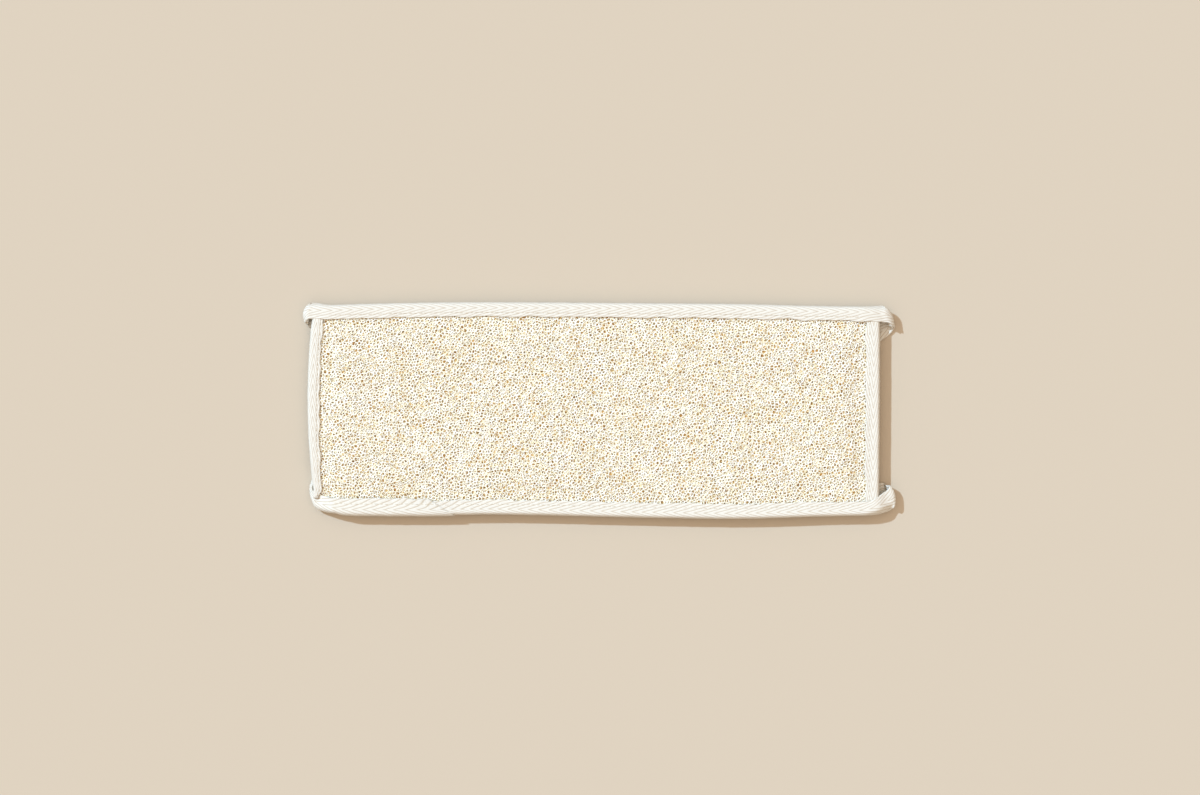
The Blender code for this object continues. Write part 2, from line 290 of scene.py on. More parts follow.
class Nodes:
    """A short hand for laying out the nodes of a material or of the world."""

    def __init__(self, owner: bpy.types.Material | bpy.types.World, shader: str = "Principled BSDF") -> None:
        """Takes up the owner's nodes, with the shader of this name that they begin with.

        Args:
            owner: The material or the world.
            shader: The name of its shader's node.
        """
        owner.use_nodes = True
        self.owner = owner
        self.tree = owner.node_tree
        self.shader = self.tree.nodes[shader]

    def add(self, kind: str, **settings: object) -> bpy.types.Node:
        """Adds a node and sets these properties of it.

        Args:
            kind: The node's type.
            settings: Properties and their values.

        Returns:
            The node.
        """
        node = self.tree.nodes.new(kind)
        for key, value in settings.items():
            setattr(node, key, value)
        return node

    def feed(self, socket: bpy.types.NodeSocket, value: object) -> None:
        """Links an output to an input, or sets the input to a value.

        Args:
            socket: The input.
            value: The output or the value.
        """
        if isinstance(value, bpy.types.NodeSocket):
            self.tree.links.new(value, socket)
        else:
            socket.default_value = value

    def maths(self, operation: str, *values: object) -> bpy.types.NodeSocket:
        """One step of arithmetic on sockets and numbers.

        Args:
            operation: What is done.
            values: What it is done to.

        Returns:
            The result.
        """
        node = self.add("ShaderNodeMath", operation=operation)
        for socket, value in zip(node.inputs, values):
            self.feed(socket, value)
        return node.outputs[0]

    def noise(self, where: bpy.types.NodeSocket, scale: float, detail: float = 2.0) -> bpy.types.NodeSocket:
        """Noise of this scale, from 0 to 1.

        Args:
            where: The place that it is read at.
            scale: Its swells in a metre.
            detail: How many finer layers it has.

        Returns:
            The noise.
        """
        node = self.add("ShaderNodeTexNoise")
        self.feed(node.inputs["Vector"], where)
        node.inputs["Scale"].default_value = scale
        node.inputs["Detail"].default_value = detail
        return node.outputs["Fac"]

    def stretched(self, where: bpy.types.NodeSocket, by: tuple[float, float, float]) -> bpy.types.NodeSocket:
        """The same place with each axis scaled.

        Args:
            where: The place.
            by: The three scales.

        Returns:
            The scaled place.
        """
        node = self.add("ShaderNodeMapping")
        self.feed(node.inputs["Vector"], where)
        node.inputs["Scale"].default_value = by
        return node.outputs["Vector"]

    def ramp(self, value: bpy.types.NodeSocket, stops: tuple) -> bpy.types.NodeSocket:
        """A colour for each value, through (place, colour) stops.

        Args:
            value: The value.
            stops: The stops, in order.

        Returns:
            The colour.
        """
        node = self.add("ShaderNodeValToRGB")
        self.feed(node.inputs["Fac"], value)
        elements = node.color_ramp.elements
        while len(elements) < len(stops):
            elements.new(0.5)
        for element, (place, colour) in zip(elements, stops):
            element.position = place
            element.color = (*colour, 1.0)
        return node.outputs["Color"]

    def spread(self, value: bpy.types.NodeSocket, low: float, high: float, to_low: float, to_high: float
               ) -> bpy.types.NodeSocket:
        """Maps one range of values on to another.

        Args:
            value: The value.
            low: Where the first range begins.
            high: Where it ends.
            to_low: Where the second range begins.
            to_high: Where it ends.

        Returns:
            The new value.
        """
        node = self.add("ShaderNodeMapRange")
        for socket, wanted in zip(node.inputs, (value, low, high, to_low, to_high)):
            self.feed(socket, wanted)
        return node.outputs[0]

    def mix(self, share: object, first: object, second: object) -> bpy.types.NodeSocket:
        """Two colours mixed by a share.

        Args:
            share: The second colour's share.
            first: One colour, or an output.
            second: The other.

        Returns:
            The mixed colour.
        """
        node = self.add("ShaderNodeMix", data_type="RGBA")
        self.feed(node.inputs["Factor"], share)
        self.feed(node.inputs["A"], first if isinstance(first, bpy.types.NodeSocket) else (*first, 1.0))
        self.feed(node.inputs["B"], second if isinstance(second, bpy.types.NodeSocket) else (*second, 1.0))
        return node.outputs["Result"]

    def bump(self, height: bpy.types.NodeSocket, distance: float, strength: float) -> None:
        """Gives the surface shader a relief.

        Args:
            height: The relief.
            distance: How deep it is, in metres.
            strength: How much of it shows.
        """
        node = self.add("ShaderNodeBump")
        node.inputs["Strength"].default_value = strength
        node.inputs["Distance"].default_value = distance
        self.feed(node.inputs["Height"], height)
        self.feed(self.shader.inputs["Normal"], node.outputs["Normal"])


@dataclass(frozen=True)
class FibreFinish:
    """Dry loofah fibre in random tones between three colours; the deeper layers get darker, warmer colours as painted
    warm shade.
    """

    name: str
    dark: tuple[float, float, float]
    middle: tuple[float, float, float]
    pale: tuple[float, float, float]
    roughness: float = 0.62
    streak: float = 0.00008
    patch_scale: float = 55.0
    patch_share: float = 0.14
    strand_scale: float = 420.0
    grain_scale: float = 2600.0

    def material(self) -> bpy.types.Material:
        """The fibre's material.

        Returns:
            The material.
        """
        n = Nodes(bpy.data.materials.new(self.name))
        where = n.add("ShaderNodeTexCoord").outputs["Object"]
        patches = n.noise(where, self.patch_scale, 3.0)
        strands = n.noise(where, self.strand_scale, 3.0)
        grain = n.noise(n.stretched(where, (1.0, 1.0, 3.0)), self.grain_scale)
        patches = n.maths("MULTIPLY", patches, self.patch_share)
        tone = n.maths("ADD", patches, n.maths("MULTIPLY", strands, 1 - self.patch_share))
        colour = n.ramp(tone, ((0.30, self.dark), (0.47, self.middle), (0.60, self.pale)))
        speck = n.spread(grain, 0.62, 0.74, 0.0, 0.35)
        n.feed(n.shader.inputs["Base Color"], n.mix(speck, colour, self.dark))
        smooth, rough = self.roughness - 0.1, self.roughness + 0.1
        n.feed(n.shader.inputs["Roughness"], n.spread(strands, 0.3, 0.7, smooth, rough))
        n.shader.inputs["Sheen Weight"].default_value = 0.08
        n.shader.inputs["Specular IOR Level"].default_value = 0.35
        n.bump(grain, self.streak, 0.8)
        return n.owner


@dataclass(frozen=True)
class TwillWeave:
    """Herringbone: slanting ribs that turn back at every column of the tape."""

    column: float = 5.3
    spacing: float = 1.76
    slope: float = 0.27
    depth: float = 0.13

    @property
    def repeat(self) -> float:
        """How far along the tape the ribs come round again."""
        return self.spacing / self.slope

    def rib(self, run: np.ndarray, across: np.ndarray) -> np.ndarray:
        """How high the cloth stands at each place, from 0 in a groove to 1 on a rib."""
        folded = self.column - np.abs(np.mod(across, 2 * self.column) - self.column)
        return np.abs(np.sin(math.pi * (folded - run * self.slope) / self.spacing)) ** 0.7


@dataclass(frozen=True)
class CottonFinish:
    """Natural cotton tape in a herringbone weave."""

    name: str
    weave: TwillWeave
    cloth: tuple[float, float, float] = (0.785, 0.761, 0.688)
    groove_shade: tuple[float, float, float] = (0.513, 0.415, 0.289)
    soil: tuple[float, float, float] = (0.70, 0.66, 0.56)
    groove_shade_share: float = 0.85
    yarn_turn: float = 0.62
    relief: float = 0.00016

    def material(self) -> bpy.types.Material:
        """The cotton's material, whose ribs lie where the mesh has them, with painted shade in the grooves between the
        ribs.

        Returns:
            The material.
        """
        n = Nodes(bpy.data.materials.new(self.name))
        run_map = n.add("ShaderNodeUVMap", uv_map="tape_run").outputs["UV"]
        parts = n.add("ShaderNodeSeparateXYZ")
        n.feed(parts.inputs[0], run_map)
        run, across = parts.outputs["X"], parts.outputs["Y"]
        where = n.add("ShaderNodeTexCoord").outputs["Object"]
        wander = n.spread(n.noise(where, 160.0, 2.0), 0.0, 1.0, -0.16, 0.16)
        folded = n.maths("PINGPONG", across, self.weave.column)
        slid = n.maths("SUBTRACT", folded, n.maths("MULTIPLY", run, self.weave.slope))
        turns = n.maths("DIVIDE", slid, self.weave.spacing)
        wave = n.maths("SINE", n.maths("MULTIPLY", n.maths("ADD", turns, wander), math.pi))
        rib = n.maths("POWER", n.maths("ABSOLUTE", wave), 0.7)
        slid = n.maths("ADD", run, n.maths("MULTIPLY", folded, 0.6))
        floats = n.maths("SINE", n.maths("MULTIPLY", slid, 2 * math.pi / self.yarn_turn))
        yarn = n.noise(n.stretched(run_map, (0.7, 3.2, 1.0)), 1.0, 4.0)
        fluff = n.noise(where, 900.0, 4.0)
        soiled = n.noise(where, 38.0, 3.0)
        # Painted shade: the grooves between the ribs are darkened towards the groove shade colour.
        groove_shade = n.maths("MULTIPLY", n.spread(rib, 0.15, 0.75, 1.0, 0.0), self.groove_shade_share)
        colour = n.mix(groove_shade, self.cloth, self.groove_shade)
        # Random streaks along the yarns are drawn towards the same dark colour.
        colour = n.mix(n.spread(yarn, 0.42, 0.7, 0.0, 0.20), colour, self.groove_shade)
        colour = n.mix(n.spread(soiled, 0.5, 0.75, 0.0, 0.12), colour, self.soil)
        n.feed(n.shader.inputs["Base Color"], colour)
        n.feed(n.shader.inputs["Roughness"], n.spread(fluff, 0.3, 0.7, 0.80, 0.95))
        n.shader.inputs["Sheen Weight"].default_value = 0.15
        n.shader.inputs["Sheen Roughness"].default_value = 0.5
        n.shader.inputs["Specular IOR Level"].default_value = 0.25
        height = n.maths("ADD", n.maths("MULTIPLY", rib, 0.5), n.maths("MULTIPLY", floats, 0.14))
        height = n.maths("ADD", height, n.maths("MULTIPLY", n.maths("ADD", yarn, fluff), 0.32))
        n.bump(height, self.relief, 0.9)
        return n.owner


@dataclass(frozen=True)
class ThreadFinish:
    """Sewing thread, twisted from two plies."""

    name: str
    colour: tuple[float, float, float] = (0.74, 0.675, 0.56)
    worn: tuple[float, float, float] = (0.62, 0.56, 0.45)
    ply_gap_shade: tuple[float, float, float] = (0.50, 0.44, 0.34)

    def material(self) -> bpy.types.Material:
        """The thread's material.

        Returns:
            The material.
        """
        n = Nodes(bpy.data.materials.new(self.name))
        where = n.add("ShaderNodeTexCoord").outputs["Object"]
        plies = n.noise(n.stretched(where, (2.4, 2.4, 1.0)), 900.0, 2.0)
        colour = n.mix(n.spread(n.noise(where, 60.0), 0.35, 0.7, 0.0, 0.5), self.colour, self.worn)
        # Painted shade in the gaps between the plies.
        colour = n.mix(n.spread(plies, 0.4, 0.6, 0.0, 0.25), colour, self.ply_gap_shade)
        n.feed(n.shader.inputs["Base Color"], colour)
        n.feed(n.shader.inputs["Roughness"], n.spread(plies, 0.3, 0.7, 0.6, 0.8))
        n.bump(plies, 0.0001, 0.8)
        return n.owner


@dataclass(frozen=True)
class FibreNet:
    """One layer of the loofah's net: a cell in every gap, and strands that join where they cross."""

    name: str
    face: Face
    pitch: float
    strand: float
    rise: float
    depth: float
    unrest: float
    seed: int
    tuck: float = 1.8
    corner_cut: float = 7.5
    warp: float = 0.35
    jitter: float = 0.48
    knot_pull: float = 0.75
    knot_reach: float = 0.45
    thinnest: float = 0.5
    thickest: float = 1.6
    thick_patches: float = 0.04
    hole_round: float = 0.35
    smallest_hole: float = 0.16
    wall_share: float = 1.12
    dish: float = 0.28
    most_faces: int = 190000

    def seeds(self, shape: PadShape, rng: np.random.Generator) -> np.ndarray:
        """A point in the middle of each cell, on a shaken honeycomb a little larger than the pad.

        Args:
            shape: The pad.
            rng: Where the shaking is drawn from.

        Returns:
            One row for each point.
        """
        x_end = shape.half_length + 2 * self.pitch
        y_end = shape.half_width + 2 * self.pitch
        row_step = self.pitch * math.sqrt(3) / 2
        rows = int(2 * y_end / row_step)
        columns = int(2 * x_end / self.pitch)
        j, i = np.meshgrid(np.arange(rows), np.arange(columns), indexing="ij")
        x = -x_end + (i + 0.5 * (j % 2)) * self.pitch
        y = -y_end + j * row_step
        points = np.stack((x.ravel(), y.ravel()), axis=1)
        return points + rng.uniform(-self.jitter, self.jitter, points.shape) * self.pitch

    def cells(self, points: np.ndarray, shape: PadShape) -> tuple[np.ndarray, np.ndarray, np.ndarray]:
        """The corners of every cell round its point.

        Args:
            points: The middles of the cells.
            shape: The pad, whose tapes cover the cells left out.

        Returns:
            The corners' places, the corner each ring entry stands on, and the cell each entry belongs to, with
            a cell's entries in order round it.
        """
        found = delaunay_2d_cdt([Vector(p) for p in points], [], [], 0, 1e-5, False)
        triangles = np.array(found[2])
        corners = points[triangles]
        a, b, c = corners[:, 0], corners[:, 1], corners[:, 2]
        ab, ac = b - a, c - a
        twice = 2 * (ab[:, 0] * ac[:, 1] - ab[:, 1] * ac[:, 0])
        ab2, ac2 = (ab**2).sum(1), (ac**2).sum(1)
        circle = np.stack((ac[:, 1] * ab2 - ab[:, 1] * ac2, ab[:, 0] * ac2 - ac[:, 0] * ab2), axis=1)
        circle = a + circle / np.where(np.abs(twice) < 1e-6, 1e-6, twice)[:, None]
        middle = corners.mean(1)
        off = np.linalg.norm(circle - middle, axis=1, keepdims=True)
        near = np.minimum(1.0, self.knot_reach * self.pitch / np.maximum(off, 1e-6))
        knots = middle + (circle - middle) * self.knot_pull * near
        owner = triangles.ravel()
        knot = np.repeat(np.arange(len(triangles)), 3)
        away = middle[knot] - points[owner]
        order = np.lexsort((np.arctan2(away[:, 1], away[:, 0]), owner))
        owner, knot = owner[order], knot[order]
        x_end = shape.half_length - self.tuck - self.pitch / 2
        y_end = shape.half_width - self.tuck - self.pitch / 2
        spare_x, spare_y = x_end - np.abs(points[:, 0]), y_end - np.abs(points[:, 1])
        inside = (spare_x > 0) & (spare_y > 0) & (spare_x + spare_y > self.corner_cut)
        keep = inside[owner]
        return knots, knot[keep], owner[keep]

    def warped(self, flat: np.ndarray) -> np.ndarray:
        """The net pulled about in its own plane, so that its cells lengthen and lean in places.

        Args:
            flat: The corners of its cells.

        Returns:
            Their new places.
        """
        x, y = flat[:, 0], flat[:, 1]
        pull_x = Ripple(self.seed + 71, 11.0, 34.0).at(x, y) * self.warp
        pull_y = Ripple(self.seed + 72, 9.0, 30.0).at(x, y) * self.warp
        return np.stack((x + pull_x, y + pull_y), axis=1)

    def build(self, shape: PadShape, material: bpy.types.Material) -> list[bpy.types.Object]:
        """Makes the layer.

        Args:
            shape: The pad that the layer follows.
            material: Its finish.

        Returns:
            The layer's object, or the objects of its two halves.
        """
        rng = np.random.default_rng(self.seed)
        points = self.seeds(shape, rng)
        knots, knot, owner = self.cells(points, shape)
        used, knot = np.unique(knot, return_inverse=True)
        flat = self.warped(knots[used])
        count = len(used)
        starts = np.flatnonzero(np.r_[True, owner[1:] != owner[:-1]])
        sizes = np.diff(np.r_[starts, len(owner)])
        following = np.arange(len(owner)) + 1
        following[starts + sizes - 1] = starts
        group = np.repeat(np.arange(len(starts)), sizes)

        sway = rng.normal(0, self.unrest, count)
        height = shape.surface(flat[:, 0], flat[:, 1], self.face) - self.face.value * self.depth + sway
        ring = flat[knot]
        middle = np.stack([np.bincount(group, ring[:, k]) / sizes for k in (0, 1)], axis=1)
        arm = ring - middle[group]
        reach = np.linalg.norm(arm, axis=1)
        mean_reach = np.bincount(group, reach) / sizes
        thick = self.strand * rng.uniform(self.thinnest, self.thickest, len(starts))
        thick *= 1 + self.thick_patches * Ripple(self.seed + 5, 12.0, 40.0).at(middle[:, 0], middle[:, 1])
        wanted = (1 - self.hole_round) * reach + self.hole_round * mean_reach[group]
        wanted = wanted - thick[group] * self.wall_share
        hole = np.maximum(wanted, self.smallest_hole * mean_reach[group])
        inner = middle[group] + arm / reach[:, None] * hole[:, None]
        level = np.bincount(group, height[knot]) / sizes
        inner_height = height[knot] * (1 - self.dish) + level[group] * self.dish

        rises = self.rise * rng.uniform(0.8, 1.3, count)
        ridge_xy = np.stack(shape.place(flat[:, 0], flat[:, 1]), axis=1)
        inner_xy = np.stack(shape.place(inner[:, 0], inner[:, 1]), axis=1)
        placed = np.concatenate((
            np.c_[ridge_xy, height + rises],
            np.c_[ridge_xy, height - rises],
            np.c_[inner_xy, inner_height],
        ))
        after = knot[following]
        lip = 2 * count + np.arange(len(knot))
        above = np.stack((knot, after, lip[following], lip), axis=1)
        below = np.stack((lip, lip[following], count + after, count + knot), axis=1)
        halves = (("", np.ones(len(middle), bool)),)
        if len(above) * 4 > self.most_faces:
            halves = (("_left", middle[:, 0] < 0), ("_right", middle[:, 0] >= 0))
        made = []
        for ending, cells in halves:
            part = cells[group]
            forward, back = knot * count + after, after * count + knot
            rim = part & ~np.isin(back, forward[part])
            wall = np.stack((knot, count + knot, count + after, after), axis=1)[rim]
            faces = np.concatenate((above[part], below[part], wall))
            kept, faces = np.unique(faces, return_inverse=True)
            made.append(MeshMaker.add(self.name + ending, placed[kept], [faces.reshape(-1, 4)], material))
        return made


def rods(centre: np.ndarray, radius: np.ndarray, sides: int = 6) -> tuple[np.ndarray, list[np.ndarray]]:
    """Points and faces of round rods with flat ends.

    Args:
        centre: The middle line of each rod, as (rod, place along it, 3).
        radius: Its radius at each place.
        sides: How many sides each rod has.

    Returns:
        The points, and the faces as places in them.
    """
    along = unit(np.gradient(centre, axis=1))
    side = unit(np.cross(along, UPRIGHT))
    up = np.cross(side, along)
    turn = (np.arange(sides) * 2 * math.pi / sides)[:, None]
    ring = np.cos(turn) * side[:, :, None, :] + np.sin(turn) * up[:, :, None, :]
    points = centre[:, :, None, :] + radius[:, :, None, None] * ring
    index = np.arange(radius.size * sides).reshape(*radius.shape, sides)
    after = np.roll(index, -1, axis=2)
    walls = np.stack((index[:, :-1], after[:, :-1], after[:, 1:], index[:, 1:]), axis=-1).reshape(-1, 4)
    return points.reshape(-1, 3), [walls, index[:, 0][:, ::-1], index[:, -1]]


@dataclass(frozen=True)
class LongFibres:
    """Longer strands that lie over the net and dive into it at both ends."""

    name: str
    face: Face
    count: int
    seed: int
    lift: float = 0.10
    shortest: float = 3.5
    longest: float = 11.0
    thinnest: float = 0.22
    thickest: float = 0.34
    stations: int = 8
    inset: float = 11.0
    margin: float = 4.0
    scatter: float = 0.8
    curl: float = 1.3
    sway: float = 0.35
    sway_turns: float = 9.0
    dive: float = 1.5
    dive_over: float = 0.22
    taper_over: float = 0.15
    tip_share: float = 0.35

    def build(self, shape: PadShape, material: bpy.types.Material) -> bpy.types.Object:
        """Makes all the strands as one object.

        Args:
            shape: The pad that they lie on.
            material: Their finish.

        Returns:
            The object.
        """
        rng = np.random.default_rng(self.seed)
        n, m = self.count, self.stations
        t = np.linspace(0, 1, m)
        length = rng.uniform(self.shortest, self.longest, n)
        x = rng.uniform(self.inset - shape.half_length, shape.half_length - self.inset, n)
        y = rng.uniform(self.inset - shape.half_width, shape.half_width - self.inset, n)
        heading = 0.9 * Ripple(self.seed + 3, 50.0, 110.0).at(x, y) + math.pi / 2 + rng.normal(0, self.scatter, n)
        bend = rng.normal(0, self.curl, n)
        wobble = rng.uniform(0, 2 * math.pi, n)
        angle = heading[:, None] + bend[:, None] * (t - 0.5) + self.sway * np.sin(wobble[:, None] + self.sway_turns * t)
        step = length[:, None] / (m - 1)
        px = x[:, None] + np.cumsum(np.cos(angle) * step, axis=1) - np.cos(heading)[:, None] * length[:, None] / 2
        py = y[:, None] + np.cumsum(np.sin(angle) * step, axis=1) - np.sin(heading)[:, None] * length[:, None] / 2
        px = np.clip(px, self.margin - shape.half_length, shape.half_length - self.margin)
        py = np.clip(py, self.margin - shape.half_width, shape.half_width - self.margin)
        lie = shape.surface(px, py, self.face)
        from_tip = np.minimum(t, 1 - t)
        dive = self.dive * (1 - ease(from_tip / self.dive_over))
        lie = lie + self.face.value * (self.lift + rng.normal(0, 0.12, n)[:, None] - dive)
        qx, qy = shape.place(px, py)
        centre = np.stack((qx, qy, lie), axis=2)
        taper = self.tip_share + (1 - self.tip_share) * ease(from_tip / self.taper_over)
        radius = rng.uniform(self.thinnest, self.thickest, n)[:, None] * taper
        return MeshMaker.add(self.name, *rods(centre, radius, 5), material)


@dataclass(frozen=True)
class LoofahCore:
    """The dense mat of fibre in the middle of the pad, seen only at the bottom of the cells."""

    name: str = "loofah_core"
    step: float = 2.5
    upper_depth: float = 1.65
    lower_depth: float = 1.6
    end_depth: float = 1.5
    relief: float = 0.35
    inset: float = 2.6

    def build(self, shape: PadShape, material: bpy.types.Material) -> bpy.types.Object:
        """Makes the mat, closed all round its edge.

        Args:
            shape: The pad that it lies in.
            material: Its finish.

        Returns:
            The object.
        """
        xs = np.arange(self.inset - shape.half_length, shape.half_length - self.inset + 0.1, self.step)
        ys = np.arange(self.inset - shape.half_width, shape.half_width - self.inset + 0.1, self.step)
        x, y = np.meshgrid(xs, ys, indexing="ij")
        qx, qy = shape.place(x, y)
        rough = Ripple(5, 4.5, 12.0, 24).at(x, y) * self.relief
        inner = ease((shape.thickness(x, y) - shape.half_at_end) / 2.8)
        top = shape.surface(x, y, Face.UPPER) - self.end_depth - (self.upper_depth - self.end_depth) * inner
        low = shape.surface(x, y, Face.LOWER) + self.end_depth + (self.lower_depth - self.end_depth) * inner
        top, low = top + rough * inner, low + rough * inner
        n, m = x.shape
        upper = np.arange(n * m).reshape(n, m)
        lower = upper + n * m
        points = np.concatenate([np.c_[qx.ravel(), qy.ravel(), height.ravel()] for height in (top, low)])
        faces = [
            np.stack((upper[:-1, :-1], upper[1:, :-1], upper[1:, 1:], upper[:-1, 1:]), axis=-1).reshape(-1, 4),
            np.stack((lower[:-1, :-1], lower[:-1, 1:], lower[1:, 1:], lower[1:, :-1]), axis=-1).reshape(-1, 4),
        ]
        rim = np.concatenate((upper[:, 0], upper[-1, 1:], upper[-2::-1, -1], upper[0, -2:0:-1]))
        after = np.roll(rim, -1)
        faces.append(np.stack((rim, rim + n * m, after + n * m, after), axis=1))
        return MeshMaker.add(self.name, points, faces, material)


@dataclass
class Stations:
    """Places along a tape, and how its section lies at each.

    The edge is the fold of the tape, at the height of its outer face. Across points out from the pad, and
    normal out of the tape's outer face. Spread is 1 where the tape is as wide as when it is pressed flat, and
    press is 1 where its two layers lie on each other. Tuck is how far the fold itself is drawn in, and open tuck
    the same for the open edge.
    """

    edge: np.ndarray
    across: np.ndarray
    normal: np.ndarray
    spread: np.ndarray
    press: np.ndarray
    wider: np.ndarray
    thicker: np.ndarray
    tuck: np.ndarray
    open_tuck: np.ndarray

    @classmethod
    def lay(cls, edge: np.ndarray, across: np.ndarray, normal: np.ndarray, spread: np.ndarray | float,
            press: np.ndarray | float, wider: np.ndarray | float = 0.0, thicker: np.ndarray | float = 0.0,
            tuck: np.ndarray | tuple[float, float, float] = (0.0, 0.0, 0.0),
            open_tuck: np.ndarray | tuple[float, float, float] = (0.0, 0.0, 0.0)) -> "Stations":
        """Stations from arrays, with single numbers standing for the same value everywhere.

        Args:
            edge: The fold, on the outer face.
            across: The way out from the pad, for each millimetre of width.
            normal: The way out of the outer face.
            spread: 1 where the tape is as wide as when pressed flat.
            press: 1 where its layers lie on each other.
            wider: How much further in its open edges reach.
            thicker: How much thicker the cloth is.
            tuck: How far the fold is drawn in.
            open_tuck: How far the open edge is drawn in.

        Returns:
            The stations.
        """
        n = len(edge)
        rows = [np.broadcast_to(v, (n, 3)).astype(float) for v in (edge, across, normal)]
        values = [np.broadcast_to(v, (n,)).astype(float) for v in (spread, press, wider, thicker)]
        tucks = [np.broadcast_to(v, (n, 3)).astype(float) for v in (tuck, open_tuck)]
        return cls(*rows, *values, *tucks)

    def reversed(self) -> "Stations":
        """The same stations in the other order."""
        return Stations(*[getattr(self, name)[::-1] for name in self.__dataclass_fields__])

    @staticmethod
    def join(parts: list["Stations"]) -> "Stations":
        """One line of stations after another."""
        names = parts[0].__dataclass_fields__
        return Stations(*[np.concatenate([getattr(part, name) for part in parts]) for name in names])

    def run(self, closed: bool) -> np.ndarray:
        """How far along the tape each station is, with the whole length at the end.

        Args:
            closed: Whether the tape joins up with itself.

        Returns:
            One length for each station, and the whole.
        """
        middle = self.edge - self.across * MEASURED_IN
        after = np.roll(middle, -1, axis=0)
        steps = np.linalg.norm(after - middle, axis=1)
        if not closed:
            steps[-1] = steps[-2]
        return np.r_[0.0, np.cumsum(steps)]


@dataclass(frozen=True)
class TapeSection:
    """A folded tape's section, from its upper edge round the fold to its lower edge."""

    reach: float
    half: float
    wall: float
    flat_width: float = STRAP_WIDTH
    flat_half: float = 1.1
    fold_round: float = 2.4
    seam_run: float = 2.6
    lining: float = 0.1
    selvedge: float = 0.18
    outer_points: int = 54
    inner_points: int = 12

    def profile(self, reach: float, half: float, rounded: float, power: float, droop: float, count: int) -> np.ndarray:
        """Evenly spaced (distance past the fold, height) points of one side of the cloth.

        Args:
            reach: How far in over the pad the cloth goes.
            half: Half its height.
            rounded: How long its rounded fold is.
            power: How square the fold is: 2 is an ellipse.
            droop: How much its edges are drawn down by the seam.
            count: How many points.

        Returns:
            One row for each point.
        """
        turn = np.linspace(math.pi / 2, -math.pi / 2, 121)
        w = -rounded + rounded * np.abs(np.cos(turn)) ** (2 / power)
        n = half * np.sign(np.sin(turn)) * np.abs(np.sin(turn)) ** (2 / power)
        flat = np.linspace(-reach, -rounded, 41)[:-1]
        w = np.concatenate((flat, w, flat[::-1]))
        n = np.concatenate((np.full(len(flat), half), n, np.full(len(flat), -half)))
        n = n - np.sign(n) * droop * ease((-w - reach + self.seam_run) / self.seam_run)
        length = np.r_[0.0, np.cumsum(np.hypot(np.diff(w), np.diff(n)))]
        at = np.linspace(0, length[-1], count)
        return np.stack((np.interp(at, length, w), np.interp(at, length, n)), axis=1)

    def outlines(self) -> tuple[np.ndarray, np.ndarray]:
        """The closed section round the pad and pressed flat, outer face first, with a selvedge point at each edge.

        Returns:
            The two sections, point for point.
        """
        rings = []
        for reach, half, wall, rounded, power, droop in (
            (self.reach, self.half, self.wall, self.fold_round, 2.5, 0.22),
            (self.flat_width, self.flat_half, self.flat_half - self.lining, 1.5, 2.2, 0.06),
        ):
            outer = self.profile(reach, half, rounded, power, droop, self.outer_points)
            turned, sag = max(rounded - wall, 0.3), droop * 0.4
            inside = self.profile(reach - self.lining, half - wall, turned, 2.2, sag, self.inner_points)
            inside[:, 0] -= np.where(inside[:, 0] > -reach + 0.3, wall * ease((inside[:, 0] + reach) / reach), 0.0)
            lower = np.array([[-reach - self.selvedge, -(half - wall / 2)]])
            upper = lower * (1, -1)
            rings.append(np.concatenate((outer, lower, inside[::-1], upper)))
        return rings[0], rings[1]


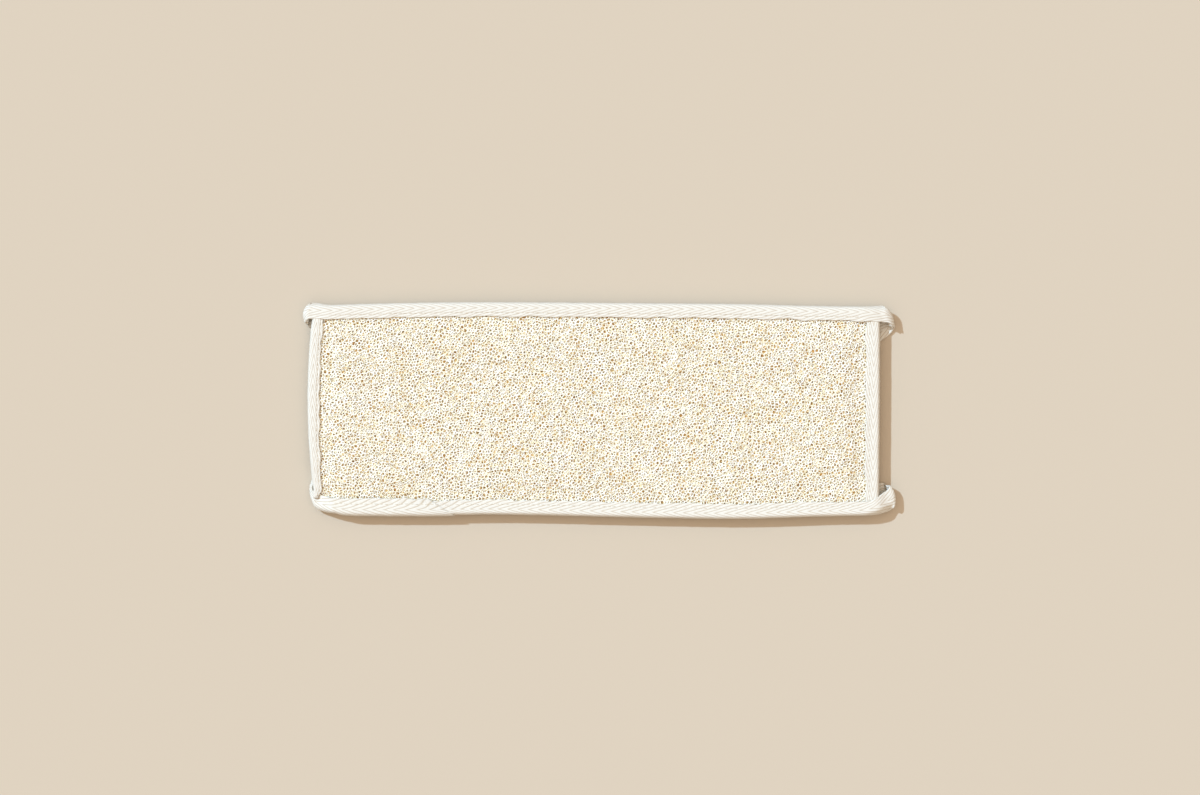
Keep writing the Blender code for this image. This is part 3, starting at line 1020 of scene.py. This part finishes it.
@dataclass(frozen=True)
class TapeCloth:
    """Folded herringbone tape laid along stations."""

    name: str
    section: TapeSection
    weave: TwillWeave
    seed: int
    tape_width: float = 25.0
    edge_wave: float = 0.30
    corner_round: float = 7.5
    corner_power: float = 2.6
    floor_gap: float = 0.03
    over_strap: float = 0.4
    seam_in: float = 2.0
    seam_dip: float = 0.2
    seam_wide: float = 0.55
    pucker: float = 0.10
    edge_band: float = 4.0

    def surface(self, stations: Stations, closed: bool) -> tuple[np.ndarray, np.ndarray, np.ndarray]:
        """The cloth's points.

        Args:
            stations: Where it runs.
            closed: Whether it joins up with itself.

        Returns:
            The points as (station, place round the section, 3), the run at each station, and the place across the
            tape of each point of the section.
        """
        channel, flat = self.section.outlines()
        outer = self.section.outer_points
        count = len(channel)
        spread, press = stations.spread[:, None], stations.press[:, None]
        w = channel[:, 0] * (1 - spread) + flat[:, 0] * spread
        n = channel[:, 1] * (1 - press) + flat[:, 1] * press
        half = self.section.half * (1 - press) + self.section.flat_half * press

        turn_w, turn_n = np.gradient(w, axis=1), np.gradient(n, axis=1)
        length = np.maximum(np.hypot(turn_w, turn_n), 1e-6)
        out_w, out_n = -turn_n / length, turn_w / length
        is_outer = np.zeros(count)
        is_outer[:outer] = 1.0

        run = stations.run(closed)
        if closed:
            run = run * (self.weave.repeat * round(run[-1] / self.weave.repeat) / run[-1])
        across = np.empty(count)
        across[:outer] = np.linspace(0, self.tape_width, outer)
        across[outer] = self.tape_width
        across[outer + 1:-1] = np.linspace(self.tape_width, 0, count - outer - 2)
        across[-1] = 0.0

        near_edge = ease(1 - np.minimum(across, self.tape_width - across) / self.edge_band)
        layer = 40.0 * np.sign(across - self.tape_width / 2)
        waver = Ripple(self.seed, 9.0, 30.0).at(run[:-1, None] + 0 * across, layer + 0 * w)
        w = w - near_edge * (self.edge_wave * waver + stations.wider[:, None])
        relief = self.weave.depth * (self.weave.rib(run[:-1, None], across) - 0.75)
        pucker = self.pucker * Ripple(self.seed + 1, 5.0, 14.0).at(run[:-1, None] + 0 * across, across + 0 * w)
        dip = self.seam_dip * np.exp(-(((across - self.seam_in) / self.seam_wide) ** 2))
        lift = is_outer * (relief - dip + pucker * (0.4 + near_edge) + stations.thicker[:, None])
        w, n = w + out_w * lift, n + out_n * lift

        normal, level = UPRIGHT + (stations.normal - UPRIGHT) * press, unit(stations.across)
        normal = unit(normal - level * (normal * level).sum(axis=1, keepdims=True))
        points = (
            stations.edge[:, None, :]
            + stations.across[:, None, :] * w[:, :, None]
            + normal[:, None, :] * (n - half)[:, :, None]
        )
        for tuck, past in ((stations.tuck, w), (stations.open_tuck, -w - self.section.flat_width)):
            rounded = np.clip((past + self.corner_round) / self.corner_round, 0.0, 1.0)
            points = points + tuck[:, None, :] * (rounded**self.corner_power)[:, :, None]
        within = np.where(is_outer > 0, 0.0, 0.6 * self.section.wall)
        points[:, :, 2] = np.maximum(points[:, :, 2], self.floor_gap + self.over_strap * (1 - press) + within)
        return points, run, across

    def seam(self, stations: Stations, closed: bool) -> np.ndarray:
        """The line on the cloth where its upper edge is sewn down, one row for each station."""
        points, _, across = self.surface(stations, closed)
        return points[:, np.searchsorted(across[: self.section.outer_points], self.seam_in)]

    def build(self, stations: Stations, closed: bool, material: bpy.types.Material) -> bpy.types.Object:
        """Makes the cloth.

        Args:
            stations: Where it runs.
            closed: Whether it joins up with itself.
            material: Its finish.

        Returns:
            The object.
        """
        points, run, across = self.surface(stations, closed)
        total, count = points.shape[:2]
        index = np.arange(total * count).reshape(total, count)
        first = index if closed else index[:-1]
        second = np.roll(index, -1, axis=0) if closed else index[1:]
        around = np.roll(np.arange(count), -1)
        walls = np.stack((first, second, second[:, around], first[:, around]), axis=-1).reshape(-1, 4)
        here = np.broadcast_to(run[:-1, None], index.shape)[: len(first)]
        there = np.broadcast_to(run[1:, None], index.shape)[: len(first)]
        v = np.broadcast_to(across, first.shape)
        beside = v[:, around]
        corners = ((here, v), (there, v), (there, beside), (here, beside))
        uv = np.stack([np.stack(corner, axis=-1) for corner in corners], axis=2)
        faces, maps = [walls], [uv]
        if not closed:
            for row, place, order in ((index[0], run[0], 1), (index[-1], run[-2], -1)):
                for corners in self.cut_end(count):
                    corners = corners[:, ::order]
                    faces.append(row[corners])
                    maps.append(np.stack((np.full(corners.shape, place), across[corners]), -1))
        return MeshMaker.add(self.name, points.reshape(-1, 3), faces, material, maps)

    def cut_end(self, count: int) -> list[np.ndarray]:
        """Faces between the cloth's outer and inner sides at a cut end, as places round the section.

        Args:
            count: How many points the section has.

        Returns:
            The quads, and the two small triangles at the selvedges.
        """
        outer = np.arange(self.section.outer_points)
        inner = count - 2 - outer
        quads = np.stack((outer[:-1], outer[1:], inner[1:], inner[:-1]), axis=1)
        edges = np.array(((outer[-1], outer[-1] + 1, inner[-1]), (inner[0], count - 1, outer[0])))
        return [quads, edges]


@dataclass(frozen=True)
class StitchRow:
    """A row of stitches in a tape, close to its open edge."""

    name: str
    length: float = 2.3
    gap: float = 0.9
    thick: float = 0.42
    places: int = 7

    def build(self, seam: np.ndarray, material: bpy.types.Material) -> bpy.types.Object:
        """Makes the whole row as one object.

        Args:
            seam: The line that it follows, on the cloth.
            material: The thread's finish.

        Returns:
            The object.
        """
        run = np.r_[0.0, np.cumsum(np.linalg.norm(np.diff(seam, axis=0), axis=1))]
        starts = np.arange(self.gap, run[-1] - self.length, self.length + self.gap)
        t = np.linspace(0, 1, self.places)
        at = starts[:, None] + t * self.length
        centre = np.stack([np.interp(at, run, seam[:, axis]) for axis in range(3)], axis=2)
        centre[:, :, 2] += self.thick * (0.6 * ease(np.minimum(t, 1 - t) / 0.35) - 0.35)
        return MeshMaker.add(self.name, *rods(centre, np.full(at.shape, self.thick / 2)), material)


@dataclass(frozen=True)
class Corner:
    """How the tape runs off a corner of the pad, rolls over and goes back under it.

    Start is the middle of the strap where the roll begins, and heading its way there. The roll turns about a
    crease, stands as high as its crown at the fold and its open crown at the open edge, reaches out by its
    bulge, and comes back under the pad on the return heading.
    """

    side: tuple[int, int]
    start: tuple[float, float]
    heading: float
    crease: float
    returns: float
    crown: float
    open_crown: float
    bulge: float
    falls_from: float
    spread_at: float
    rounding: float = 0.75
    open_rounding: float = 0.0
    open_lag: float = 0.0
    tightness: float = 0.9
    pressed_by: float = 50.0
    spread_by: float = 70.0
    run_steps: int = 12
    roll_steps: int = 22
    drawn_back: float = 0.7
    strap: float = STRAP_WIDTH

    def axes(self) -> tuple[np.ndarray, np.ndarray, np.ndarray]:
        """The travel, the crease line and the way the roll bulges."""
        travel, line = facing(self.heading), facing(self.crease)
        return travel, line, unit(travel - line * travel.dot(line))

    def lean(self) -> np.ndarray:
        """The way along the crease from the strap's middle to its fold, for each millimetre of its width."""
        _, line, _ = self.axes()
        return line / line.dot(facing(self.heading + 90 * self.side[0] * self.side[1]))

    def rolled(self, turn: np.ndarray, across: float) -> np.ndarray:
        """Places on the outer face of the roll.

        Args:
            turn: How far round the roll each place is, from 0 to pi.
            across: Its distance from the strap's middle towards the fold.

        Returns:
            One row for each turn.
        """
        travel, line, beyond = self.axes()
        middle = np.array((*self.start, 0.0))
        radius = (self.bulge + (self.crown + self.open_crown) / 4) / 2 - self.drawn_back
        slide = math.pi * radius * travel.dot(line) / travel.dot(beyond)
        out, share = np.sin(turn)[:, None], (turn / math.pi)[:, None]
        level = middle + self.lean() * across + line * slide * share + beyond * self.bulge * out
        pivot = middle + line * slide / 2 + beyond * self.bulge
        twist = math.radians(self.returns - (2 * self.crease - self.heading)) * ease(2 * share - 1)
        arm = level - pivot
        cos, sin = np.cos(twist[:, 0]), np.sin(twist[:, 0])
        turned = np.stack((arm[:, 0] * cos - arm[:, 1] * sin, arm[:, 0] * sin + arm[:, 1] * cos, 0 * cos), axis=1)
        tall = (self.crown + self.open_crown) / 4 + (self.crown - self.open_crown) / 2 * across / self.strap
        late = 1 + self.open_lag * (0.5 - across / self.strap)
        turned[:, 2] = tall * (1 + np.cos(math.pi * share[:, 0] ** late))
        return pivot * (1, 1, 0) + turned

    def landing(self) -> tuple[np.ndarray, float]:
        """The middle of the strap where it comes out flat under the pad, and its heading there."""
        return self.rolled(np.array((math.pi,)), 0.0)[0], self.returns

    def roll(self) -> Stations:
        """Stations round the roll, from just past its start to the flat strap.

        Returns:
            The stations.
        """
        turn = np.linspace(0, math.pi, self.roll_steps + 1)[1:]
        edge = self.rolled(turn, self.strap / 2)
        across = (edge - self.rolled(turn, -self.strap / 2)) / self.strap
        step = 1e-3
        onward = self.rolled(turn + step, 0.0) - self.rolled(turn - step, 0.0)
        normal = unit(np.cross(onward, across)) * self.side[0] * self.side[1]
        degrees = np.degrees(turn)
        spread = self.spread_at + (1 - self.spread_at) * ease(degrees / self.spread_by)
        pull = -facing(self.heading) * self.bulge * np.sin(turn)[:, None]
        return Stations.lay(edge, across, normal, spread, ease(degrees / self.pressed_by),
                            tuck=pull * self.rounding, open_tuck=pull * self.open_rounding)

    def stations(self, last: Stations) -> Stations:
        """Stations from the end of the pad's edge to the flat strap under the pad.

        Args:
            last: The edge's own last station.

        Returns:
            The new stations, in order away from the edge.
        """
        ends = [self.rolled(np.array((0.0,)), across)[0] for across in (self.strap / 2, -self.strap / 2)]
        fold, lean = ends[0], (ends[0] - ends[1]) / self.strap
        t = np.linspace(0, 1, self.run_steps + 1)[1:]
        begin = last.edge[-1]
        span = np.linalg.norm(fold - begin) * self.tightness
        level = cubic(begin, np.array((self.side[0], 0.0, 0.0)) * span, fold, facing(self.heading) * span, t[:, None])
        fall = ease((t - self.falls_from) / (1 - self.falls_from))
        level[:, 2] = begin[2] + (fold[2] - begin[2]) * fall
        across = last.across[-1] + (lean - last.across[-1]) * ease(t)[:, None]
        across[:, 2] = lean[2] * fall
        wider, thicker = last.wider[-1] * (1 - ease(t)), last.thicker[-1] * (1 - ease(t))
        run = Stations.lay(level, across, UPRIGHT, self.spread_at * ease(t), 0.0, wider, thicker)
        return Stations.join([run, self.roll()])


@dataclass(frozen=True)
class HandLoop:
    """The course of a hand loop lying flat under the pad, from one corner's roll to the other's."""

    points: tuple[tuple[float, float], ...]
    step: float = 1.6
    strap: float = STRAP_WIDTH
    settles_over: float = 16.0
    fineness: int = 24

    def stations(self, leaving: Corner, arriving: Corner) -> Stations:
        """Evenly spaced stations along the loop.

        Args:
            leaving: The corner that the loop comes from.
            arriving: The corner that it goes to.

        Returns:
            The stations between the two rolls.
        """
        (first, first_heading), (last, last_heading) = leaving.landing(), arriving.landing()
        knots = [first, *[np.array((*p, 0.0)) for p in self.points], last]
        tangents = [facing(first_heading)]
        tangents += [unit(knots[k + 1] - knots[k - 1]) for k in range(1, len(knots) - 1)]
        tangents.append(facing(last_heading + 180))
        fine = []
        t = (np.arange(self.fineness) / self.fineness)[:, None]
        for k in range(len(knots) - 1):
            chord = np.linalg.norm(knots[k + 1] - knots[k])
            fine.append(cubic(knots[k], tangents[k] * chord, knots[k + 1], tangents[k + 1] * chord, t))
        fine = np.concatenate((*fine, last[None, :]))
        gone = np.r_[0.0, np.cumsum(np.linalg.norm(np.diff(fine, axis=0), axis=1))]
        at = np.linspace(0, gone[-1], round(gone[-1] / self.step) + 1)
        middle = np.stack([np.interp(at, gone, fine[:, k]) for k in range(3)], axis=1)
        travel = unit(np.gradient(middle, axis=0))
        outward = np.stack((travel[:, 1], -travel[:, 0], 0 * travel[:, 0]), axis=1)
        for corner, end, away in ((leaving, 0, at), (arriving, -1, at[::-1])):
            lean = corner.roll().across[-1]
            outward = outward + (lean - outward[end]) * ease(1 - away / self.settles_over)[:, None]
        edge = middle + outward * (self.strap / 2)
        stations = Stations.lay(edge, outward, -UPRIGHT, 1.0, 1.0)
        return Stations(*[getattr(stations, name)[1:-1] for name in stations.__dataclass_fields__])


@dataclass(frozen=True)
class Lap:
    """Where the long tape's two ends overlap on the lower edge of the pad."""

    end: float = -91.0
    slant: float = 1.5
    slant_fades_over: float = 40.0
    fades_from: float = -160.0
    fades_to: float = -176.0
    extra_reach: float = 1.4
    extra_thickness: float = 0.6
    step: float = 0.35

    def lean(self, x: np.ndarray) -> np.ndarray:
        """How far a station leans along the edge, for each millimetre in from the fold."""
        return self.slant * ease(1 - np.abs(x - self.end) / self.slant_fades_over)

    def share(self, x: np.ndarray) -> np.ndarray:
        """1 where the tape is doubled, 0 where it is single."""
        faded = 1 - ease((self.fades_from - x) / (self.fades_from - self.fades_to))
        return np.where(x > self.end + 0.01, 0.0, faded)


@dataclass(frozen=True)
class LongTape:
    """The long tape: both long edges and both hand loops, in one ring."""

    shape: PadShape
    weave: TwillWeave = TwillWeave()
    wall: float = 1.0
    gap: float = 0.3
    step: float = 1.6
    straight_to: float = 168.0
    lap: Lap = Lap()
    top_right: Corner = Corner((1, 1), (183.0, 59.6), 0.0, 101.0, 221.0, 11.6, 10.6, 5.4, 0.2, 0.4)
    bottom_right: Corner = Corner(
        (1, -1), (186.1, -56.0), 32.0, 105.0, 177.0, 8.8, 8.8, 4.4, 0.5, 0.75,
        rounding=0.5, open_rounding=0.3, open_lag=1.1,
    )
    bottom_left: Corner = Corner(
        (-1, -1), (-176.5, -54.2), 152.0, 99.0, 46.0, 9.6, 7.4, 3.2, 0.0, 0.1, open_rounding=1.15, tightness=0.5
    )
    top_left: Corner = Corner(
        (-1, 1), (-179.4, 61.6), 178.0, 84.0, -20.0, 11.8, 10.8, 4.8, 0.2, 0.3, open_rounding=0.4
    )
    right_loop: HandLoop = HandLoop((
        (168, 45.5), (146, 40.5), (118, 39.5), (92, 39.0), (66, 35.0), (47, 20.0), (41, 0.0),
        (47, -20.5), (66, -36.0), (92, -42.0), (118, -44.5), (146, -47.5), (168, -50.5),
    ))
    left_loop: HandLoop = HandLoop((
        (-166, -41.5), (-146, -37.5), (-120, -37.5), (-94, -38.5), (-68, -35.0), (-48, -20.5), (-42, 0.5),
        (-48, 21.0), (-68, 36.5), (-94, 41.5), (-120, 44.0), (-146, 48.5), (-166, 54.5),
    ))

    def edge(self, side: int) -> Stations:
        """Stations along one long edge, from the left end of the pad to the right.

        Args:
            side: 1 for the upper edge in the photo, -1 for the lower.

        Returns:
            The stations.
        """
        shape = self.shape
        reach = shape.bottom_reach if side < 0 else shape.top_reach
        places = np.linspace(-self.straight_to, self.straight_to, round(2 * self.straight_to / self.step) + 1)
        slant = share = np.zeros(len(places))
        if side < 0:
            places = places[np.abs(places - self.lap.end - self.lap.step / 2) > 0.7]
            places = np.sort(np.r_[places, self.lap.end, self.lap.end + self.lap.step])
            slant, share = self.lap.lean(places), self.lap.share(places)
        level = np.ones(len(places)) * side
        fold = np.stack(shape.place(places, level * shape.half_width), axis=1)
        inner = np.stack(shape.place(places - slant * reach, level * (shape.half_width - reach)), axis=1)
        height = shape.middle + shape.half_at_long_edge + self.gap + self.wall
        edge = np.c_[fold, np.full(len(places), height)]
        across = np.c_[(fold - inner) / reach, np.zeros(len(places))]
        wider = share * self.lap.extra_reach + (reach - shape.top_reach)
        return Stations.lay(edge, across, UPRIGHT, 0.0, 0.0, wider, share * self.lap.extra_thickness)

    def ring(self) -> Stations:
        """The whole ring, from the left end of the top edge round to where it began.

        Returns:
            The ring's stations.
        """
        top, bottom = self.edge(1), self.edge(-1)
        right = self.right_loop.stations(self.top_right, self.bottom_right)
        left = self.left_loop.stations(self.bottom_left, self.top_left)
        return Stations.join([
            top,
            self.top_right.stations(top),
            right,
            self.bottom_right.stations(bottom).reversed(),
            bottom.reversed(),
            self.bottom_left.stations(bottom.reversed()),
            left,
            self.top_left.stations(top.reversed()).reversed(),
        ])

    def section(self) -> TapeSection:
        """The tape's section over a long edge."""
        half = self.shape.half_at_long_edge + self.gap + self.wall
        return TapeSection(self.shape.top_reach, half, self.wall)

    def build(self, material: bpy.types.Material, thread: bpy.types.Material) -> list[bpy.types.Object]:
        """Makes the tape and the stitches along both its edges.

        Args:
            material: Its finish.
            thread: The finish of its stitches.

        Returns:
            The objects.
        """
        ring = self.ring()
        length = ring.run(closed=True)[-1]
        cloth = TapeCloth("long_tape", self.section(), self.weave, 300)
        obj = cloth.build(ring, True, material)
        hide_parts("edge_tape")
        made, seam = [obj], cloth.seam(ring, True)
        for name, side in (("stitches_top", 1), ("stitches_bottom", -1)):
            sewn = (np.abs(seam[:, 0]) < self.straight_to) & (seam[:, 2] > self.shape.middle)
            rows = np.flatnonzero(sewn & (seam[:, 1] * side > 0))
            rows = max(np.split(rows, np.flatnonzero(np.diff(rows) > 1) + 1), key=len)
            made.append(StitchRow(name).build(seam[rows], thread))
        return made


@dataclass(frozen=True)
class EndBinding:
    """The short folded tape over one end of the pad, its own ends under the long tape."""

    name: str
    side: int
    shape: PadShape
    low_shortfall: float
    high_shortfall: float = 5.3
    wall: float = 0.9
    gap: float = 0.3
    step: float = 1.5
    low_end_length: float = 8.0
    narrows_by: float = 0.0
    narrow_share: float = 0.6
    fold_drawn_out: float = 0.0
    edge_drawn_out: float = 0.0
    weave: TwillWeave = TwillWeave()

    def stations(self) -> Stations:
        """Stations from the lower end of the binding to the upper.

        Returns:
            The stations.
        """
        shape = self.shape
        reach = shape.left_reach if self.side < 0 else shape.right_reach
        low, high = self.low_shortfall - shape.half_width, shape.half_width - self.high_shortfall
        ys = np.linspace(low, high, round((high - low) / self.step) + 1)
        along = np.ones(len(ys)) * self.side
        fold = np.stack(shape.place(along * shape.half_length, ys), axis=1)
        inner = np.stack(shape.place(along * (shape.half_length - reach), ys), axis=1)
        height = shape.middle + shape.half_at_end + self.gap + self.wall
        near_end = ease(1 - (ys - low) / self.low_end_length)[:, None]
        narrow = ease(1 - (ys - low) / (high - low) / self.narrow_share)[:, None]
        inner = inner + (fold - inner) * self.narrows_by * narrow
        drawn = (fold - inner) * near_end
        fold, inner = fold + drawn * self.fold_drawn_out, inner + drawn * self.edge_drawn_out
        edge = np.c_[fold, np.full(len(ys), height)]
        across = np.c_[(fold - inner) / reach, np.zeros(len(ys))]
        return Stations.lay(edge, across, UPRIGHT, 0.0, 0.0)

    def build(self, material: bpy.types.Material, thread: bpy.types.Material) -> list[bpy.types.Object]:
        """Makes the binding and its stitches.

        Args:
            material: Its finish.
            thread: The finish of its stitches.

        Returns:
            The objects.
        """
        shape = self.shape
        reach = shape.left_reach if self.side < 0 else shape.right_reach
        half = shape.half_at_end + self.gap + self.wall
        section = TapeSection(reach, half, self.wall, inner_points=TapeSection.outer_points)
        stations = self.stations() if self.side < 0 else self.stations().reversed()
        length = stations.run(closed=False)[-2]
        cloth = TapeCloth(self.name, section, self.weave, 400 + self.side)
        obj = cloth.build(stations, False, material)
        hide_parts(self.name.replace("tape", "binding"))
        stitches = StitchRow(self.name.replace("end_tape", "stitches")).build(cloth.seam(stations, False), thread)
        return [obj, stitches]


@dataclass(frozen=True)
class Studio:
    """A plain pale floor, a soft key light from the upper left and even fill light, seen from straight above."""

    look_at: tuple[float, float] = (1.21, 8.25)
    camera_height: float = 2200.0
    field_width: float = 756.0
    sensor: float = 36.0
    sharp_height: float = 11.0
    floor_half: float = 4.0
    floor_colour: tuple[float, float, float] = (0.568, 0.485, 0.377)
    floor_tooth: tuple[float, float, float] = (0.48, 0.42, 0.34)
    floor_clouds: tuple[float, float, float] = (0.58, 0.50, 0.40)
    fill: tuple[float, float, float] = (0.901, 0.761, 0.636)
    fill_at_horizon: float = 0.4
    key: tuple[float, float, float] = (0.529, 0.750, 0.986)
    key_strength: float = 3.464
    key_elevation: float = 44.5
    key_heading: float = 146.0
    key_softness: float = 1.6

    def floor(self) -> None:
        """Lays the floor."""
        n = Nodes(bpy.data.materials.new("studio_paper"))
        where = n.add("ShaderNodeTexCoord").outputs["Object"]
        tooth = n.noise(where, 1500.0, 3.0)
        clouds = n.noise(where, 1.6, 2.0)
        colour = n.mix(n.spread(tooth, 0.35, 0.65, 0.0, 0.03), self.floor_colour, self.floor_tooth)
        colour = n.mix(n.spread(clouds, 0.35, 0.65, 0.0, 0.05), colour, self.floor_clouds)
        n.feed(n.shader.inputs["Base Color"], colour)
        n.shader.inputs["Roughness"].default_value = 0.9
        n.shader.inputs["Specular IOR Level"].default_value = 0.2
        n.bump(tooth, 0.00004, 0.4)
        mesh = bpy.data.meshes.new("floor")
        corners = [(x * self.floor_half, y * self.floor_half, 0) for x, y in ((-1, -1), (1, -1), (1, 1), (-1, 1))]
        mesh.from_pydata(corners, [], [(0, 1, 2, 3)])
        mesh.materials.append(n.owner)
        obj = bpy.data.objects.new("floor", mesh)
        bpy.context.scene.collection.objects.link(obj)

    def light(self) -> None:
        """Sets up the key light and the fill from all round, which is stronger overhead."""
        lamp = bpy.data.lights.new("key", "SUN")
        lamp.energy = self.key_strength
        lamp.color = self.key
        lamp.angle = math.radians(self.key_softness)
        key = bpy.data.objects.new("key", lamp)
        tilt = math.radians(90 - self.key_elevation)
        key.rotation_euler = Euler((tilt, 0.0, math.radians(self.key_heading + 90)))
        bpy.context.scene.collection.objects.link(key)
        world = bpy.data.worlds.new("fill")
        n = Nodes(world, "Background")
        way = n.add("ShaderNodeSeparateXYZ")
        n.feed(way.inputs[0], n.add("ShaderNodeTexCoord").outputs["Generated"])
        rising = n.spread(way.outputs["Z"], 0.0, 1.0, 0.0, 1.0)
        overhead = n.maths("MULTIPLY", rising, rising)
        strength = n.maths("MULTIPLY_ADD", overhead, 2 * (1 - self.fill_at_horizon), self.fill_at_horizon)
        n.shader.inputs["Color"].default_value = (*self.fill, 1.0)
        n.feed(n.shader.inputs["Strength"], strength)
        bpy.context.scene.world = world
        bpy.context.scene.view_settings.view_transform = "Standard"

    def camera(self) -> None:
        """Sets up the camera, straight above the pad."""
        data = bpy.data.cameras.new("camera")
        data.sensor_width = self.sensor
        data.lens = self.sensor * self.camera_height / self.field_width
        obj = bpy.data.objects.new("camera", data)
        x, y = self.look_at
        obj.location = (x * MM, y * MM, (self.camera_height + self.sharp_height) * MM)
        bpy.context.scene.collection.objects.link(obj)
        bpy.context.scene.camera = obj


@dataclass(frozen=True)
class Loofah:
    """The pressed loofah: nets of fibre on both faces, longer strands over them and a dense mat between."""

    shape: PadShape
    # The finishes run from white on the strands on top to deep orange in the core: painted warm shade, darker with
    # depth.
    white: FibreFinish = FibreFinish("loofah_white", (0.945, 0.88, 0.74), (0.965, 0.925, 0.82), (0.965, 0.935, 0.855))
    pale: FibreFinish = FibreFinish("loofah_pale", (0.92, 0.85, 0.655), (0.955, 0.905, 0.77), (0.965, 0.935, 0.855))
    straw: FibreFinish = FibreFinish("loofah_straw_painted_shade", (0.86, 0.73, 0.43), (0.94, 0.84, 0.58), (0.965, 0.89, 0.71))
    amber: FibreFinish = FibreFinish("loofah_amber_painted_shade", (0.72, 0.45, 0.14), (0.84, 0.60, 0.26), (0.93, 0.78, 0.47))
    heart: FibreFinish = FibreFinish("loofah_core_painted_shade", (0.66, 0.36, 0.10), (0.78, 0.50, 0.18), (0.88, 0.66, 0.32))
    layers: tuple[tuple[FibreNet, str], ...] = (
        (FibreNet("net_upper_outer", Face.UPPER, 1.98, 0.385, 0.26, 0.25, 0.24, 101), "pale"),
        (FibreNet("net_upper_middle", Face.UPPER, 2.6, 0.50, 0.28, 0.72, 0.15, 102), "straw"),
        (FibreNet("net_upper_inner", Face.UPPER, 4.2, 0.65, 0.35, 1.25, 0.18, 103), "amber"),
        (FibreNet("net_lower_outer", Face.LOWER, 3.8, 0.64, 0.45, 0.35, 0.22, 104), "pale"),
    )
    strands: tuple[LongFibres, ...] = (
        LongFibres("strands_upper", Face.UPPER, 620, 111),
        LongFibres("strands_lower", Face.LOWER, 110, 112),
    )

    def build(self) -> list[bpy.types.Object]:
        """Makes every layer.

        Returns:
            The objects.
        """
        finishes = {name: getattr(self, name).material() for name in ("white", "pale", "straw", "amber", "heart")}
        # The core takes the darkest finish: painted shade at the bottom of the cells.
        core = LoofahCore().build(self.shape, finishes["heart"])
        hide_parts("loofah_pad")
        made = [core]
        for net, tone in self.layers:
            made += net.build(self.shape, finishes[tone])
        made += [strands.build(self.shape, finishes["white"]) for strands in self.strands]
        return made


def report(obj: bpy.types.Object) -> None:
    """Logs one piece and its count of faces."""
    LOG.info("%s: %d faces", obj.name, len(obj.data.polygons))


def main() -> None:
    """Builds the scrubber and its studio."""
    logging.basicConfig(level=logging.INFO, format="%(name)s %(message)s")
    studio = Studio()
    studio.camera()
    studio.light()
    studio.floor()
    shape = PadShape()
    cotton = CottonFinish("herringbone_cotton", TwillWeave()).material()
    thread = ThreadFinish("cotton_thread").material()
    left = EndBinding("end_tape_left", -1, shape, 8.6, narrows_by=0.3, fold_drawn_out=0.4, edge_drawn_out=0.75)
    right = EndBinding("end_tape_right", 1, shape, 5.3)
    pieces = Loofah(shape).build()
    for tape in (LongTape(shape), left, right):
        pieces += tape.build(cotton, thread)
    for piece in pieces:
        report(piece)


if __name__ == "__main__":
    main()
